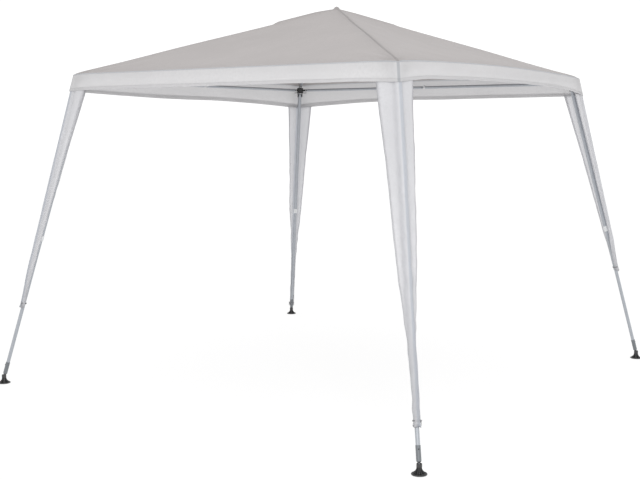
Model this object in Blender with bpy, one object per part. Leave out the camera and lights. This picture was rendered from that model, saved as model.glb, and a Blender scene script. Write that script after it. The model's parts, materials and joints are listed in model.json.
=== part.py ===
"""Pop up gazebo: a folding steel frame on four slanted legs under a fabric canopy.

Run with blender --background --python part.py, or from Blender's text editor.
Metres, +Z up, origin on the ground at the centre of the four feet.

Every corner is the same, so its pieces are made once in the corner's own axes
(x outwards along the diagonal, y along the tangent, z up) and placed four times.
Each piece's origin is on the axis of the joint that carries it.
"""
import math

import bmesh
import bpy
from mathutils import Matrix, Vector

# Driving dimensions.
FOOT_HALF = 1.500          # feet stand at plus and minus this, a 3 m base
TOP_HALF = 1.153           # half width of the canopy at the eaves
EAVE_Z = 1.924             # fold between roof and valance
APEX_Z = 2.352             # where the four roof planes meet
NUB_TOP_Z = 2.365          # rounded tip over the crown cap
VALANCE_DROP = 0.110
VALANCE_FLARE = 0.18       # outward per metre down
CLOTH = 0.0012

RAIL_HALF = 1.123          # centre line of the eave rails
RAIL_Z = 1.885
RAIL_PIVOT = 0.060         # from a corner's centre to each rail pivot
TUBE_R = 0.0095            # rafters and eave rails, 19 mm tube
TUBE_WALL = 0.0012
TUBE_SETBACK = 0.014       # from a pivot to the tube's end
RIDGE_DROP = 0.024         # rafter axis below the ridge, square to it
HUB_PIVOT_R = 0.055
CORNER_PIVOT_IN = 0.055    # from a corner's centre inwards to the rafter pivot
INNER_SHARE = 0.6083       # inner part of the rafter's whole length
KNUCKLE_LIFT = 0.013       # knuckle pivots stand this far above the tube axis

TONGUE_HALF = 0.0030
EAR_INNER = 0.0034
EAR_OUTER = 0.0074
EAR_R = 0.0070
PIN_R = 0.0030
PIN_HOLE_R = 0.0036
FIT_GAP = 0.0003

LEG_PIVOT_OUT = 0.012      # leg pivot outside the corner's centre
LEG_PIVOT_Z = 1.845
LEG_UPPER_R = 0.0125
LEG_LOWER_R = 0.0110
LEG_WALL = 0.0010
LEG_UPPER_END = 0.980      # distances along the leg from its pivot
LEG_LOWER_TOP = 0.800
BALL_Z = 0.036
BALL_R = 0.0080
NECK_R = 0.0050
NECK_LENGTH = 0.024        # ball centre to the sleeve's bottom
SLEEVE_LENGTH = 0.075
SLEEVE_R = 0.0127
BUTTON_ABOVE = 0.057       # button centre above the sleeve's bottom
BUTTON_R = 0.0035
FOOT_R = 0.035
FOOT_TOP = 0.017           # collar above the ball's centre

COVER_TOP_Z = 1.811
COVER_BOTTOM_Z = 0.210
COVER_TOP_HALF = 1.165     # crease of the leg cover, in plan
COVER_FLARE = 0.197
COVER_TOP_WING = 0.130
COVER_BOTTOM_WING = 0.030

TUBE_SIDES = 12
PIN_SIDES = 10
FOOT_SIDES = 16

# Places worked out from the dimensions, as (outwards, up) in a corner's plane.
DIAGONAL = math.sqrt(2)
RIDGE_SLOPE = math.atan2(APEX_Z - EAVE_Z, TOP_HALF * DIAGONAL)
CORNER_R = RAIL_HALF * DIAGONAL
RAIL_LENGTH = RAIL_HALF - RAIL_PIVOT


def rafter_axis_z(radius):
    """Height of the rafter's centre line at a distance from the middle."""
    ridge = EAVE_Z + (TOP_HALF * DIAGONAL - radius) * math.tan(RIDGE_SLOPE)
    return ridge - RIDGE_DROP / math.cos(RIDGE_SLOPE)


HUB_PIVOT = Vector((HUB_PIVOT_R, 0, rafter_axis_z(HUB_PIVOT_R)))
CORNER_PIVOT_R = CORNER_R - CORNER_PIVOT_IN
CORNER_PIVOT = Vector((CORNER_PIVOT_R, 0, rafter_axis_z(CORNER_PIVOT_R)))
RAFTER_LENGTH = (CORNER_PIVOT - HUB_PIVOT).length
INNER_LENGTH = RAFTER_LENGTH * INNER_SHARE
OUTER_LENGTH = RAFTER_LENGTH - INNER_LENGTH
RIDGE_NORMAL = Vector((math.sin(RIDGE_SLOPE), 0, math.cos(RIDGE_SLOPE)))
KNUCKLE_PIVOT = HUB_PIVOT.lerp(CORNER_PIVOT, INNER_SHARE) + RIDGE_NORMAL * KNUCKLE_LIFT
LEG_PIVOT = Vector((CORNER_R + LEG_PIVOT_OUT, 0, LEG_PIVOT_Z))
BALL = Vector((FOOT_HALF * DIAGONAL, 0, BALL_Z))
LEG_LENGTH = (BALL - LEG_PIVOT).length
LEG_PITCH = math.atan2(LEG_PIVOT_Z - BALL_Z, BALL.x - LEG_PIVOT.x)
SLEEVE_BOTTOM = LEG_LENGTH - NECK_LENGTH
SLEEVE_TOP = SLEEVE_BOTTOM - SLEEVE_LENGTH
BUTTON_ALONG = SLEEVE_BOTTOM - BUTTON_ABOVE


# ---- shapes -------------------------------------------------------------------

def to_mesh(bm, name="shape"):
    bmesh.ops.recalc_face_normals(bm, faces=bm.faces)
    mesh = bpy.data.meshes.new(name)
    bm.to_mesh(mesh)
    bm.free()
    return mesh


def arc(centre, radius, start, end, steps):
    """Points on an arc in a plate's plane, angles in degrees."""
    points = []
    for i in range(steps + 1):
        angle = math.radians(start + (end - start) * i / steps)
        points.append((centre[0] + radius * math.cos(angle), centre[1] + radius * math.sin(angle)))
    return points


def plate(outline, low, high):
    """An outline in x and z, extruded along y."""
    bm = bmesh.new()
    face = bm.faces.new([bm.verts.new((x, low, z)) for x, z in outline])
    result = bmesh.ops.extrude_face_region(bm, geom=[face])
    moved = [item for item in result["geom"] if isinstance(item, bmesh.types.BMVert)]
    bmesh.ops.translate(bm, vec=(0, high - low, 0), verts=moved)
    return to_mesh(bm)


def slab(outline, low, high):
    """An outline in x and y, extruded along z."""
    mesh = plate(outline, low, high)
    mesh.transform(Matrix(((1, 0, 0, 0), (0, 0, 1, 0), (0, 1, 0, 0), (0, 0, 0, 1))))
    mesh.flip_normals()
    return mesh


def lathe(profile, sides, closed=False):
    """A profile of (along, radius) pairs turned about x."""
    bm = bmesh.new()
    verts = [bm.verts.new((along, 0, radius)) for along, radius in profile]
    pairs = list(zip(verts, verts[1:]))
    if closed:
        pairs.append((verts[-1], verts[0]))
    edges = [bm.edges.new(pair) for pair in pairs]
    bmesh.ops.spin(
        bm, geom=verts + edges, cent=(0, 0, 0), axis=(1, 0, 0), dvec=(0, 0, 0),
        angle=2 * math.pi, steps=sides, use_merge=True,
    )
    bmesh.ops.remove_doubles(bm, verts=bm.verts, dist=1e-6)
    return to_mesh(bm)


def tube(start, end, radius, wall):
    inner = radius - wall
    profile = [(start, inner), (start, radius), (end, radius), (end, inner)]
    return lathe(profile, TUBE_SIDES, closed=True)


def rod(radius, start, end, axis="x", sides=PIN_SIDES):
    """A solid round bar along one axis, from start to end."""
    mesh = lathe([(start, 0), (start, radius), (end, radius), (end, 0)], sides)
    if axis == "y":
        mesh.transform(Matrix.Rotation(math.pi / 2, 4, "Z"))
    if axis == "z":
        mesh.transform(Matrix.Rotation(-math.pi / 2, 4, "Y"))
    return mesh


def moved(mesh, x=0.0, y=0.0, z=0.0):
    mesh.transform(Matrix.Translation((x, y, z)))
    return mesh


def turned(mesh, degrees):
    """Turn a shape about the vertical."""
    mesh.transform(Matrix.Rotation(math.radians(degrees), 4, "Z"))
    return mesh


def solid(name, adds, cuts=()):
    """Join the closed shapes in adds, cut away those in cuts, give one mesh."""
    scene = bpy.context.scene.collection
    base = bpy.data.objects.new(name, adds[0])
    scene.objects.link(base)
    helpers = []
    for operation, shapes in (("UNION", adds[1:]), ("DIFFERENCE", cuts)):
        for shape in shapes:
            helper = bpy.data.objects.new("helper", shape)
            scene.objects.link(helper)
            modifier = base.modifiers.new(operation, "BOOLEAN")
            modifier.operation = operation
            modifier.object = helper
            helpers.append(helper)
    graph = bpy.context.evaluated_depsgraph_get()
    mesh = bpy.data.meshes.new_from_object(base.evaluated_get(graph))
    mesh.name = name
    for helper in helpers + [base]:
        bpy.data.objects.remove(helper)
    return mesh


# ---- joints between tubes -----------------------------------------------------

def tongue(pivot, direction, mouth_z=0.0):
    """Flat end of a tube, round about its pivot, running back inside the bore.

    direction is 1 where the tube lies at greater x than the pivot, else -1.
    """
    half = TUBE_R - 0.0009
    near = pivot[0] + direction * (TUBE_SETBACK - 0.002)
    far = pivot[0] + direction * (TUBE_SETBACK + 0.026)
    if direction > 0:
        outline = arc(pivot, EAR_R, 90, 270, 8)
        corners = [(near, mouth_z - half), (far, mouth_z - half), (far, mouth_z + half), (near, mouth_z + half)]
    else:
        outline = arc(pivot, EAR_R, -90, 90, 8)
        corners = [(near, mouth_z + half), (far, mouth_z + half), (far, mouth_z - half), (near, mouth_z - half)]
    return plate(outline + corners, -TONGUE_HALF, TONGUE_HALF)


def pin_hole(pivot):
    return moved(rod(PIN_HOLE_R, -0.02, 0.02, "y"), x=pivot[0], z=pivot[1])


def pivot_pin(pivot, reach=EAR_OUTER - 0.0004):
    return moved(rod(PIN_R, -reach, reach, "y"), x=pivot[0], z=pivot[1])


def ear_pair(outline, inner=EAR_INNER, outer=EAR_OUTER):
    return [plate(outline, inner, outer), plate(outline, -outer, -inner)]


def knuckle(name, length, pinned):
    """Moulded fork plugged into a tube's end, its pivot at x = length.

    Its pivot stands above the tube's axis, so that the two tubes fold
    top to top. The fork at the middle of an eave carries no pin.
    """
    face = length - TUBE_SETBACK + FIT_GAP
    bore = TUBE_R - TUBE_WALL
    plug = [
        (face - 0.024, 0),
        (face - 0.024, bore - 0.0008),
        (face, bore - 0.0008),
        (face, TUBE_R),
        (face + 0.004, TUBE_R),
        (face + 0.004, 0),
    ]
    pivot = (length, KNUCKLE_LIFT)
    outline = arc(pivot, EAR_R, -60, 120, 8)
    outline += [(face + 0.0005, TUBE_R - 0.001), (face + 0.0005, -TUBE_R + 0.003)]
    adds = [lathe(plug, TUBE_SIDES)] + ear_pair(outline)
    if pinned:
        adds.append(pivot_pin(pivot))
    return solid(name, adds)


# ---- the crown ----------------------------------------------------------------

def crown_hub():
    """Moulded centre with four forks; origin level with the rafter pivots."""
    body = [(-0.030, 0), (-0.030, 0.012), (-0.014, 0.016), (-0.010, 0.036), (0.010, 0.036), (0.010, 0)]
    core = lathe(body, FOOT_SIDES)
    core.transform(Matrix.Rotation(-math.pi / 2, 4, "Y"))
    adds = [core]
    for number in range(4):
        outline = arc((HUB_PIVOT_R, 0), EAR_R, -90, 90, 8) + [(0.028, EAR_R), (0.028, -EAR_R)]
        for shape in ear_pair(outline) + [pivot_pin((HUB_PIVOT_R, 0))]:
            adds.append(turned(shape, 45 + 90 * number))
    return solid("crown_hub", adds)


def crown_cap():
    """Rounded post on the hub that holds up the canopy's tip."""
    base = HUB_PIVOT.z + 0.010 + FIT_GAP
    profile = [(0, 0), (0, 0.017)]
    for height, radius in ((2.338, 0.017), (2.350, 0.0125), (2.357, 0.006), (2.359, 0)):
        profile.append((height - base, radius))
    mesh = lathe(profile, FOOT_SIDES)
    mesh.transform(Matrix.Rotation(-math.pi / 2, 4, "Y"))
    mesh.name = "crown_cap"
    return mesh


def canopy():
    """Roof and valance as one sheet, thickened by a Solidify modifier."""
    fall = (APEX_Z - EAVE_Z) / TOP_HALF
    rings = [(0.010, NUB_TOP_Z - 0.0015), (0.022, APEX_Z - 0.022 * fall + 0.0045)]
    for half in (0.036, 0.30, 0.58, 0.86, TOP_HALF):
        rings.append((half, APEX_Z - half * fall))
    rings.append((TOP_HALF + VALANCE_FLARE * VALANCE_DROP, EAVE_Z - VALANCE_DROP))
    cells = 4
    bm = bmesh.new()
    tip = bm.verts.new((0, 0, NUB_TOP_Z - APEX_Z))
    loops = []
    for half, height in rings:
        loop = []
        for side in range(4):
            for cell in range(cells):
                along = half * (2 * cell / cells - 1)
                spot = Matrix.Rotation(side * math.pi / 2, 3, "Z") @ Vector((half, along, height - APEX_Z))
                loop.append(bm.verts.new(spot))
        loops.append(loop)
    count = 4 * cells
    for i in range(count):
        bm.faces.new((tip, loops[0][i], loops[0][(i + 1) % count]))
    for upper, lower in zip(loops, loops[1:]):
        for i in range(count):
            after = (i + 1) % count
            bm.faces.new((upper[i], lower[i], lower[after], upper[after]))
    return to_mesh(bm, "canopy")


# ---- one corner ---------------------------------------------------------------

def rafter_inner():
    adds = [
        tube(TUBE_SETBACK, INNER_LENGTH - TUBE_SETBACK, TUBE_R, TUBE_WALL),
        tongue((0, 0), 1),
    ]
    return solid("rafter_inner", adds, [pin_hole((0, 0))])


def rafter_outer():
    """Origin at the knuckle pivot, above the tube's own axis."""
    bar = tube(TUBE_SETBACK, OUTER_LENGTH - TUBE_SETBACK, TUBE_R, TUBE_WALL)
    adds = [
        moved(bar, z=-KNUCKLE_LIFT),
        tongue((0, 0), 1, mouth_z=-KNUCKLE_LIFT),
        tongue((OUTER_LENGTH, -KNUCKLE_LIFT), -1, mouth_z=-KNUCKLE_LIFT),
    ]
    cuts = [pin_hole((0, 0)), pin_hole((OUTER_LENGTH, -KNUCKLE_LIFT))]
    return solid("rafter_outer", adds, cuts)


def eave_rail(name, with_tongue):
    """Half of an eave. One half ends in a tongue, the other takes the knuckle."""
    adds = [
        tube(TUBE_SETBACK, RAIL_LENGTH - TUBE_SETBACK, TUBE_R, TUBE_WALL),
        tongue((0, 0), 1),
    ]
    cuts = [pin_hole((0, 0))]
    if with_tongue:
        adds.append(tongue((RAIL_LENGTH, KNUCKLE_LIFT), -1))
        cuts.append(pin_hole((RAIL_LENGTH, KNUCKLE_LIFT)))
    return solid(name, adds, cuts)


def corner_bracket():
    """Moulded corner, made about the corner's centre at rail height."""
    rise = CORNER_PIVOT.z - RAIL_Z
    flange_z = -0.0210
    block = rod(0.024, flange_z + 0.0020, 0.020, "z", TUBE_SIDES)
    flange = slab(
        [(-0.026, -0.046), (-0.009, -0.046), (0.018, -0.019), (0.018, 0.019), (-0.009, 0.046), (-0.026, 0.046)],
        flange_z, flange_z + 0.0038,
    )
    adds = [block, flange]

    rafter_arm = arc((-CORNER_PIVOT_IN, rise), EAR_R, 90, 270, 8)
    rafter_arm += [(-0.030, rise - EAR_R), (-0.024, 0.012), (-0.018, -0.006), (-0.006, -0.006), (-0.006, rise - 0.010)]
    rafter_arm += [(-0.014, rise - 0.002)]
    adds += ear_pair(rafter_arm)
    adds.append(pivot_pin((-CORNER_PIVOT_IN, rise)))

    for side in (135, -135):
        rail_arm = arc((RAIL_PIVOT, 0), EAR_R, -90, 90, 8) + [(0.010, EAR_R), (0.010, -EAR_R)]
        for shape in ear_pair(rail_arm) + [pivot_pin((RAIL_PIVOT, 0))]:
            adds.append(turned(shape, side))

    leg_z = LEG_PIVOT_Z - RAIL_Z
    cheek = arc((LEG_PIVOT_OUT, leg_z), 0.012, -180, 0, 8)
    cheek += [(LEG_PIVOT_OUT + 0.012, flange_z + 0.0010), (LEG_PIVOT_OUT - 0.012, flange_z + 0.0010)]
    web = [(-0.006, flange_z + 0.0010), (LEG_PIVOT_OUT + 0.012, flange_z + 0.0010)]
    web += [(LEG_PIVOT_OUT + 0.012, flange_z + 0.0052), (-0.006, flange_z + 0.0052)]
    adds += ear_pair(cheek, LEG_UPPER_R + 0.0008, 0.0185)
    adds.append(plate(web, -0.0185, 0.0185))
    adds.append(pivot_pin((LEG_PIVOT_OUT, leg_z), reach=0.0180))
    mesh = solid("corner_bracket", adds)
    return moved(mesh, x=CORNER_PIVOT_IN, z=-rise)


def leg_upper():
    bar = tube(-0.012, LEG_UPPER_END, LEG_UPPER_R, LEG_WALL)
    return solid("leg_upper", [bar], [pin_hole((0, 0))])


def leg_bush():
    """Moulded bush round the upper tube's lower end, guiding the lower tube."""
    outside = LEG_UPPER_R + 0.00035
    guide = LEG_LOWER_R + 0.00035
    step = LEG_UPPER_END + FIT_GAP
    profile = [
        (LEG_UPPER_END - 0.025, outside),
        (LEG_UPPER_END - 0.025, 0.0140),
        (LEG_UPPER_END - 0.022, 0.0147),
        (LEG_UPPER_END + 0.010, 0.0147),
        (LEG_UPPER_END + 0.012, 0.0138),
        (LEG_UPPER_END + 0.012, guide),
        (step, guide),
        (step, outside),
    ]
    mesh = lathe(profile, TUBE_SIDES, closed=True)
    mesh.name = "leg_bush"
    return mesh


def button_hole():
    hole = rod(BUTTON_R + 0.0003, 0.004, 0.020, "z")
    return moved(hole, x=BUTTON_ALONG)


def leg_lower():
    bar = tube(LEG_LOWER_TOP, SLEEVE_BOTTOM - 0.0046, LEG_LOWER_R, LEG_WALL)
    return solid("leg_lower", [bar], [button_hole()])


def foot_sleeve():
    """Socket on the lower tube's end, with the ball that stands in the foot."""
    bore = LEG_LOWER_R + 0.00035
    profile = [
        (SLEEVE_BOTTOM - 0.004, 0),
        (SLEEVE_BOTTOM - 0.004, bore),
        (SLEEVE_TOP, bore),
        (SLEEVE_TOP, SLEEVE_R - 0.0004),
        (SLEEVE_TOP + 0.0006, SLEEVE_R),
        (SLEEVE_BOTTOM - 0.0015, SLEEVE_R),
        (SLEEVE_BOTTOM, SLEEVE_R - 0.0015),
        (SLEEVE_BOTTOM, NECK_R),
    ]
    start = 180 - math.degrees(math.asin(NECK_R / BALL_R))
    profile += arc((LEG_LENGTH, 0), BALL_R, start, 0, 6)[:-1]
    profile.append((LEG_LENGTH + BALL_R, 0))
    return solid("foot_sleeve", [lathe(profile, TUBE_SIDES)], [button_hole()])


def leg_button():
    """Domed snap button; its origin is on the leg's axis, z points out."""
    profile = [
        (0.0050, 0),
        (0.0050, 0.0048),
        (0.0066, 0.0048),
        (0.0066, BUTTON_R),
        (0.0136, BUTTON_R),
        (0.0147, 0.0024),
        (0.0151, 0),
    ]
    mesh = lathe(profile, PIN_SIDES)
    mesh.transform(Matrix.Rotation(-math.pi / 2, 4, "Y"))
    mesh.name = "leg_button"
    return mesh


def foot():
    """Moulded base: flat disc, ribbed cone and a collar with the ball socket."""
    floor = -BALL_Z
    socket = BALL_R + 0.00045
    lip = 0.0040
    profile = [
        (floor, 0),
        (floor, FOOT_R - 0.0010),
        (floor + 0.0010, FOOT_R),
        (floor + 0.0045, FOOT_R),
        (floor + 0.0060, FOOT_R - 0.0015),
        (floor + 0.0080, 0.0170),
        (floor + 0.0160, 0.0135),
        (FOOT_TOP - 0.0010, 0.0135),
        (FOOT_TOP, 0.0128),
        (FOOT_TOP, 0.0112),
        (lip, math.sqrt(socket * socket - lip * lip)),
    ]
    start = math.degrees(math.asin(lip / socket))
    ball = arc((0, 0), socket, start, -90, 6)[1:-1]
    profile += [(z, radius) for radius, z in ball]
    profile.append((-socket, 0))
    core = lathe(profile, FOOT_SIDES)
    core.transform(Matrix.Rotation(-math.pi / 2, 4, "Y"))
    adds = [core]
    rib = [(0.0115, floor + 0.005), (FOOT_R - 0.004, floor + 0.005), (FOOT_R - 0.005, floor + 0.0085)]
    rib += [(0.0150, 0.0035), (0.0115, 0.0035)]
    for number in range(6):
        adds.append(turned(plate(rib, -0.0012, 0.0012), 60 * number))
    return solid("foot", adds)


def leg_cover():
    """Two cloth wings that meet in a crease outside the leg, upright axes."""
    bm = bmesh.new()
    sections = []
    steps = 4
    for i in range(steps + 1):
        share = i / steps
        height = COVER_TOP_Z + (COVER_BOTTOM_Z - COVER_TOP_Z) * share
        crease = (COVER_TOP_HALF + COVER_FLARE * (COVER_TOP_Z - height)) * DIAGONAL
        wing = COVER_TOP_WING + (COVER_BOTTOM_WING - COVER_TOP_WING) * share
        reach = wing / DIAGONAL
        inset = CLOTH / DIAGONAL
        plan = [
            (crease, 0),
            (crease - reach, reach),
            (crease - reach - inset, reach - inset),
            (crease - CLOTH * DIAGONAL, 0),
            (crease - reach - inset, inset - reach),
            (crease - reach, -reach),
        ]
        spots = [Vector((x, y, height)) - LEG_PIVOT for x, y in plan]
        sections.append([bm.verts.new(spot) for spot in spots])
    for upper, lower in zip(sections, sections[1:]):
        for i in range(6):
            after = (i + 1) % 6
            bm.faces.new((upper[i], upper[after], lower[after], lower[i]))
    for section in (sections[0], sections[-1]):
        outer_crease, tip, tip_inside, crease_inside, far_inside, far_tip = section
        bm.faces.new((outer_crease, tip, tip_inside, crease_inside))
        bm.faces.new((outer_crease, crease_inside, far_inside, far_tip))
    return to_mesh(bm, "leg_cover")


# ---- materials and placing ----------------------------------------------------

def finish(name, colour, roughness, metallic):
    material = bpy.data.materials.new(name)
    material.use_nodes = True
    shader = material.node_tree.nodes["Principled BSDF"]
    shader.inputs["Base Color"].default_value = (*colour, 1)
    shader.inputs["Roughness"].default_value = roughness
    shader.inputs["Metallic"].default_value = metallic
    return material


def place(name, mesh, material, location=(0, 0, 0), pitch=0.0, heading=0.0, parent=None):
    item = bpy.data.objects.new(name, mesh)
    bpy.context.scene.collection.objects.link(item)
    if not mesh.materials:
        mesh.materials.append(material)
    item.location = location
    item.rotation_euler = (0, pitch, heading)
    item.parent = parent
    return item


def main():
    for item in list(bpy.data.objects):
        bpy.data.objects.remove(item)

    steel = finish("frame_tube", (0.36, 0.39, 0.42), 0.35, 0.6)
    sleeve_grey = finish("sleeve_paint", (0.30, 0.34, 0.40), 0.4, 0.3)
    black = finish("dark_plastic", (0.015, 0.015, 0.017), 0.5, 0.0)
    roof_cloth = finish("roof_fabric", (0.50, 0.47, 0.46), 0.7, 0.0)
    cover_cloth = finish("cover_fabric", (0.62, 0.62, 0.65), 0.5, 0.0)

    place("crown_hub", crown_hub(), black, (0, 0, HUB_PIVOT.z))
    place("crown_cap", crown_cap(), black, (0, 0, HUB_PIVOT.z + 0.010 + FIT_GAP))
    roof = place("canopy", canopy(), roof_cloth, (0, 0, APEX_Z))
    thickness = roof.modifiers.new("thickness", "SOLIDIFY")
    thickness.thickness = CLOTH
    thickness.offset = -1
    thickness.use_even_offset = True

    rail_pivot = Vector((CORNER_R - RAIL_PIVOT / DIAGONAL, RAIL_PIVOT / DIAGONAL, RAIL_Z))
    mirrored_pivot = Vector((rail_pivot.x, -rail_pivot.y, rail_pivot.z))
    along_a = math.radians(135)
    # Each row: name, mesh, material, origin in the corner's axes, pitch, heading.
    pieces = [
        ("rafter_inner", rafter_inner(), steel, HUB_PIVOT, RIDGE_SLOPE, 0),
        ("rafter_knuckle", knuckle("rafter_knuckle", INNER_LENGTH, True), black, HUB_PIVOT, RIDGE_SLOPE, 0),
        ("rafter_outer", rafter_outer(), steel, KNUCKLE_PIVOT, RIDGE_SLOPE, 0),
        ("corner_bracket", corner_bracket(), black, CORNER_PIVOT, 0, 0),
        ("eave_rail_a", eave_rail("eave_rail_a", False), steel, rail_pivot, 0, along_a),
        ("eave_knuckle", knuckle("eave_knuckle", RAIL_LENGTH, False), black, rail_pivot, 0, along_a),
        ("eave_rail_b", eave_rail("eave_rail_b", True), steel, mirrored_pivot, 0, -along_a),
        ("leg_upper", leg_upper(), steel, LEG_PIVOT, LEG_PITCH, 0),
        ("leg_bush", leg_bush(), black, LEG_PIVOT, LEG_PITCH, 0),
        ("leg_cover", leg_cover(), cover_cloth, LEG_PIVOT, 0, 0),
        ("leg_lower", leg_lower(), steel, LEG_PIVOT, LEG_PITCH, 0),
        ("foot_sleeve", foot_sleeve(), sleeve_grey, LEG_PIVOT, LEG_PITCH, 0),
        ("leg_button", leg_button(), black, LEG_PIVOT.lerp(BALL, BUTTON_ALONG / LEG_LENGTH), LEG_PITCH, 0),
        ("foot", foot(), black, BALL, 0, 0),
    ]
    for number in range(1, 5):
        corner = bpy.data.objects.new(f"corner_{number}", None)
        bpy.context.scene.collection.objects.link(corner)
        corner.rotation_euler = (0, 0, math.radians(45 + 90 * (number - 1)))
        for name, mesh, material, origin, pitch, heading in pieces:
            place(f"{name}_{number}", mesh, material, origin, pitch, heading, corner)

    for mesh in bpy.data.meshes:
        if mesh.name not in ("canopy", "leg_cover"):
            mesh.shade_smooth()
            mesh.set_sharp_from_angle(angle=math.radians(35))


main()
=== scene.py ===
"""Pop up gazebo: the cloth, fittings, finishes, light and camera over the CAD frame.

Metres, +Z up, origin on the ground at the centre of the four feet. Corner 1 is
at +x +y and the others follow anticlockwise; side 0 faces +x, side 1 +y, and so
on. A side's half with a negative share belongs to the corner before it.
"""
import json
import math

import bmesh
import bpy
import numpy as np
from mathutils import Matrix, Vector


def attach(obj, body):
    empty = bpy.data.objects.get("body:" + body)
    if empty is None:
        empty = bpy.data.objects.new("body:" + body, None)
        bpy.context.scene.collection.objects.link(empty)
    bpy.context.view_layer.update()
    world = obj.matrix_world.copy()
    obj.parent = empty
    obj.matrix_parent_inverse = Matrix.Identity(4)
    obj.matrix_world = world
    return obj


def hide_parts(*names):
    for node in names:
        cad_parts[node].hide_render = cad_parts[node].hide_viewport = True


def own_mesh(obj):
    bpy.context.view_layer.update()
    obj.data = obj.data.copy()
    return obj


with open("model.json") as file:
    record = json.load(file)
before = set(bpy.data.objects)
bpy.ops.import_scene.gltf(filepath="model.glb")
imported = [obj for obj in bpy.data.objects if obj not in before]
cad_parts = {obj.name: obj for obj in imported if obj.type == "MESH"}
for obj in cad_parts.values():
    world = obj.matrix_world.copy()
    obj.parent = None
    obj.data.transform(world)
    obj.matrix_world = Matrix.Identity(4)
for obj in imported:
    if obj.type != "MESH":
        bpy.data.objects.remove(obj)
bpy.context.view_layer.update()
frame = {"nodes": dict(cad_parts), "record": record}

JOINTS = {joint["name"]: joint for joint in frame["record"]["behaviour"]["joints"]}

# The canopy. Its cloth stands 19 mm outside the CAD solid at the eaves.
TOP = 1.172                # half width at the fold between roof and valance
EAVE_Z = 1.924
APEX_Z = 2.352
NUB_Z = 2.3625
SLOPE = (APEX_Z - EAVE_Z) / TOP
SLANT = math.hypot(1.0, SLOPE)
RIDGE_ANGLE = math.atan(SLOPE / math.sqrt(2))
RIDGE_REST = 0.5984        # share of the ridge where it rests between its two sags
RIDGE_ROUND = 0.020
CORNER_ROUND = 0.016
CORNER_DIP = 0.007         # the cloth rounds over each corner's top
FLARE = 0.18               # valance, outward per metre down
HEM = 0.018
SEAM_HALF = 0.0065         # half width of the strip along a ridge
COLUMNS = 112              # grid cells along one side
EAVE_ARCH = (0.024, 0.012, 0.009, 0.000)      # rise at mid side, by side
DROP_MID = (0.092, 0.138, 0.144, 0.099)       # valance depth, by side
DROP_CORNER = (0.120, 0.176, 0.106, 0.106)    # and at corners 1 to 4
DROP_REACH = (0.35, 1.10, 1.10, 0.35)         # how far a corner's depth reaches, by side

# Legs and their covers.
LEG_PIVOT = (1.60016, 1.845)
BALL = (2.12132, 0.036)
COVER_BOTTOM = (0.620, 0.075, 0.480, 0.215)   # corners 1 to 4
CREASE_HALF = 1.188
CREASE_Z = 1.811
CREASE_FLARE = 0.183
CREASE_LOW = 0.21          # height at which the crease has closed round the leg
COVER_HEM = 0.0014         # an edge's set-in where it is turned under


# ---------------------------------------------------------------- camera, light
def make_camera():
    """The front corner's leg nearest, slightly below the eaves."""
    data = bpy.data.cameras.new("camera")
    data.lens = 58.68
    data.sensor_width = 36.0
    camera = bpy.data.objects.new("camera", data)
    bpy.context.scene.collection.objects.link(camera)
    camera.location = (3.842, -5.584, 1.602)
    camera.rotation_euler = (math.radians(83.79), 0.0, math.radians(35.43))
    bpy.context.scene.camera = camera


def make_world():
    world = bpy.data.worlds.new("studio")
    world.use_nodes = True
    background = world.node_tree.nodes["Background"]
    background.inputs["Color"].default_value = (1.0, 1.0, 1.0, 1.0)
    background.inputs["Strength"].default_value = 1.09
    bpy.context.scene.world = world
    bpy.context.scene.view_settings.view_transform = "Standard"
    bpy.context.scene.view_settings.look = "None"


def make_lamp(name, place, target, size, power):
    data = bpy.data.lights.new(name, "AREA")
    data.shape = "DISK"
    data.size = size
    data.energy = power
    lamp = bpy.data.objects.new(name, data)
    bpy.context.scene.collection.objects.link(lamp)
    lamp.location = place
    aim = Vector(target) - Vector(place)
    lamp.rotation_euler = aim.to_track_quat("-Z", "Y").to_euler()


# --------------------------------------------------------------------- materials
# Places of the Mix node's colour sockets; its number and vector ones share their names.
MIX_FIRST, MIX_SECOND, MIX_RESULT = 6, 7, 2
WEAVE_PITCH = 0.0016
STITCH_SHARE = 0.62        # of the pitch that is thread


class Graph:
    """A material's nodes. Inputs are named as the sockets are, with _ for a space."""

    def __init__(self, name):
        self.material = bpy.data.materials.new(name)
        self.material.use_nodes = True
        self.tree = self.material.node_tree
        self.tree.nodes.clear()

    def add(self, kind, settings=None, **inputs):
        node = self.tree.nodes.new("ShaderNode" + kind)
        for key, value in (settings or {}).items():
            setattr(node, key, value)
        for key, value in inputs.items():
            self.put(node.inputs[key.replace("_", " ")], value)
        return node

    def put(self, socket, value):
        if isinstance(value, bpy.types.NodeSocket):
            self.tree.links.new(value, socket)
        else:
            socket.default_value = value

    def math(self, operation, *values):
        node = self.tree.nodes.new("ShaderNodeMath")
        node.operation = operation
        for socket, value in zip(node.inputs, values):
            self.put(socket, value)
        return node.outputs[0]

    def total(self, first, *others):
        for other in others:
            first = self.math("ADD", first, other)
        return first

    def noise(self, where, scale, detail=3.0, rough=0.55, kind="FBM"):
        node = self.add("TexNoise", {"noise_type": kind}, Vector=where, Scale=scale,
                        Detail=detail, Roughness=rough)
        return node.outputs["Fac"]

    def mapped(self, value, low, high, to_low=0.0, to_high=1.0):
        node = self.add("MapRange", {"interpolation_type": "SMOOTHSTEP"}, Value=value,
                        From_Min=low, From_Max=high, To_Min=to_low, To_Max=to_high)
        return node.outputs["Result"]

    def tint(self, factor, first, second):
        node = self.tree.nodes.new("ShaderNodeMix")
        node.data_type = "RGBA"
        self.put(node.inputs["Factor"], factor)
        self.put(node.inputs[MIX_FIRST], first)
        self.put(node.inputs[MIX_SECOND], second)
        return node.outputs[MIX_RESULT]

    def scaled(self, vector, by):
        node = self.add("Mapping", Vector=vector, Scale=by)
        return node.outputs["Vector"]

    def finish(self, shader):
        output = self.add("OutputMaterial")
        self.tree.links.new(shader, output.inputs["Surface"])
        return self.material


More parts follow.
